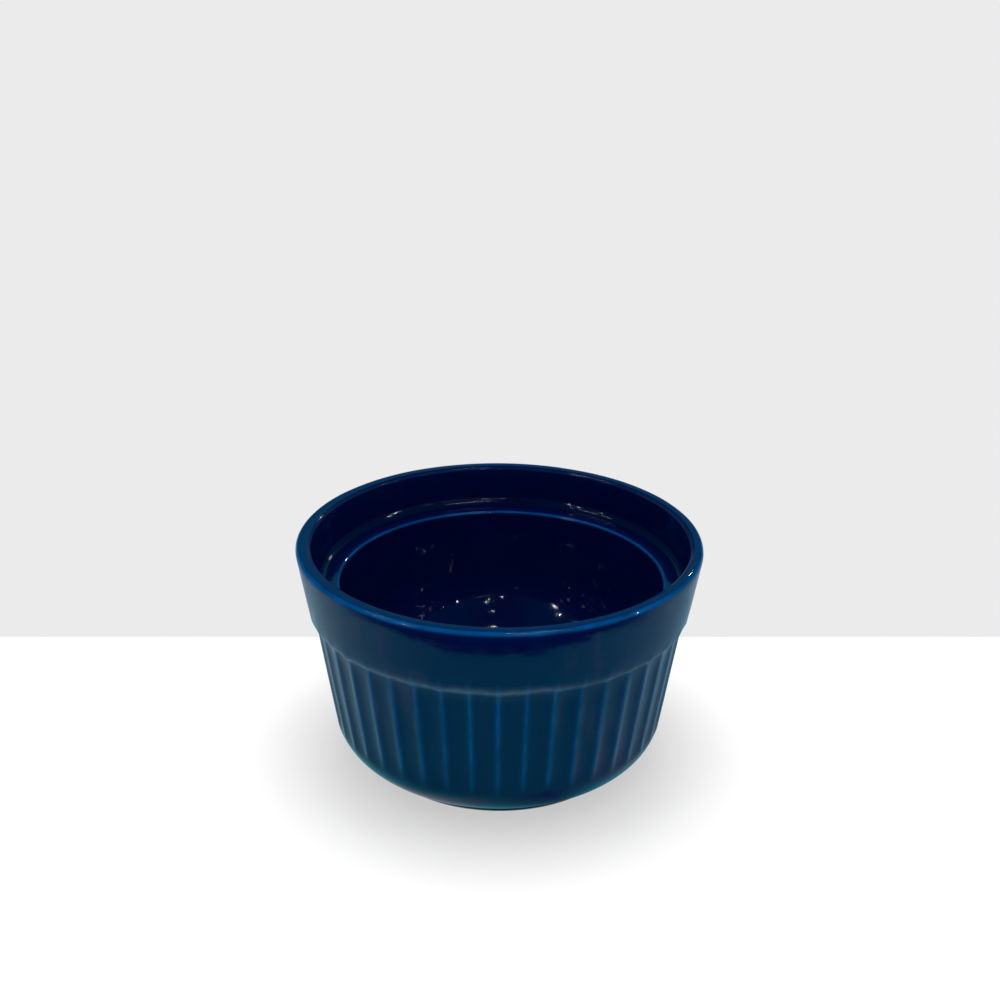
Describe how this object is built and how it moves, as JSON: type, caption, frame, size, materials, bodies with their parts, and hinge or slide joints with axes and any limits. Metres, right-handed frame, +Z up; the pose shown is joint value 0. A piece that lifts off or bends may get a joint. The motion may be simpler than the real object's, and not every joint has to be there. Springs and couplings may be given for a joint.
{
  "type": "ramekin",
  "caption": "Round stackable baking dish with a thick lip, a plain collar, an inner step, a fluted wall and a low foot, in glazed stoneware.",
  "frame": {"origin": "centre of the foot ring, on the surface that the dish stands on", "axes": "+Z up along the dish's axis, -Y towards the front of the picture, +X to its right"},
  "size_m": [0.09, 0.09, 0.0525],
  "materials": {
    "bare_stoneware": "matte fired clay",
    "cobalt_glaze": "gloss cobalt glaze"
  },
  "bodies": {
    "root": {"stoneware_body": "bare_stoneware", "glaze_coat": "cobalt_glaze", "base_glaze": "cobalt_glaze"}
  },
  "joints": []
}
